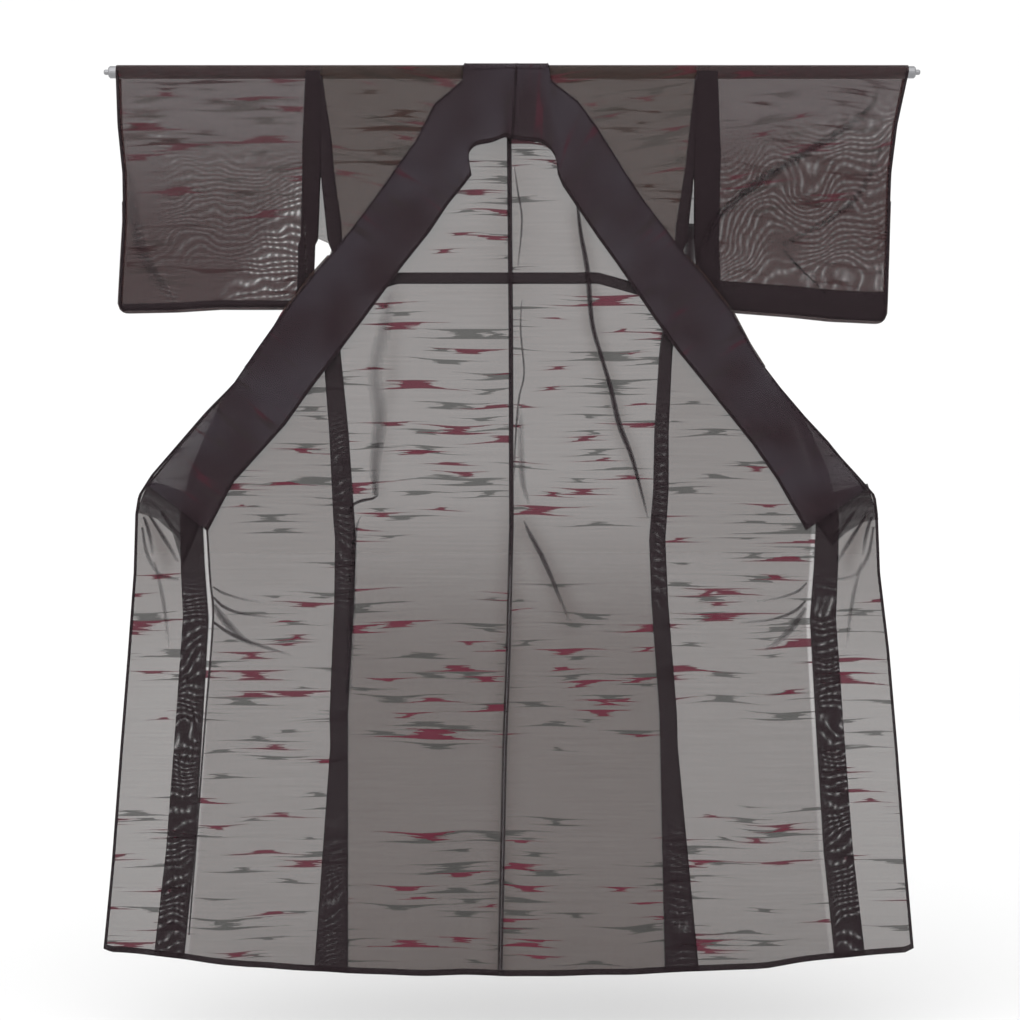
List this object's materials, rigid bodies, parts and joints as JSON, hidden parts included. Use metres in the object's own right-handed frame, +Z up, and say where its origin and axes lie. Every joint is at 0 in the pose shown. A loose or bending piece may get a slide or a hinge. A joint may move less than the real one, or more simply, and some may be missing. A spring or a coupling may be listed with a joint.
{
  "type": "kimono on hanging rod",
  "caption": "Sheer unlined kimono hung open over a straight round rod, fronts spread to both sides, full-width collar, flat pouch sleeves",
  "frame": {"origin": "middle of the rod's axis, where the rod is held", "axes": "+Z up, +X along the rod to the right as seen from the open front, +Y away from the viewer"},
  "size_m": [1.4184, 0.0348, 1.5862],
  "materials": {
    "sheer_cloth": "sheer plain weave with woven streaks",
    "rod_coat": "satin dark coating",
    "rod_metal": "polished"
  },
  "bodies": {
    "root": {"rod": "rod_coat", "rod_end_left": "rod_metal", "rod_end_right": "rod_metal", "body_left": "sheer_cloth", "body_right": "sheer_cloth", "overlap_left": "sheer_cloth", "overlap_right": "sheer_cloth", "sleeve_left": "sheer_cloth", "sleeve_right": "sheer_cloth", "collar": "sheer_cloth"}
  },
  "joints": []
}
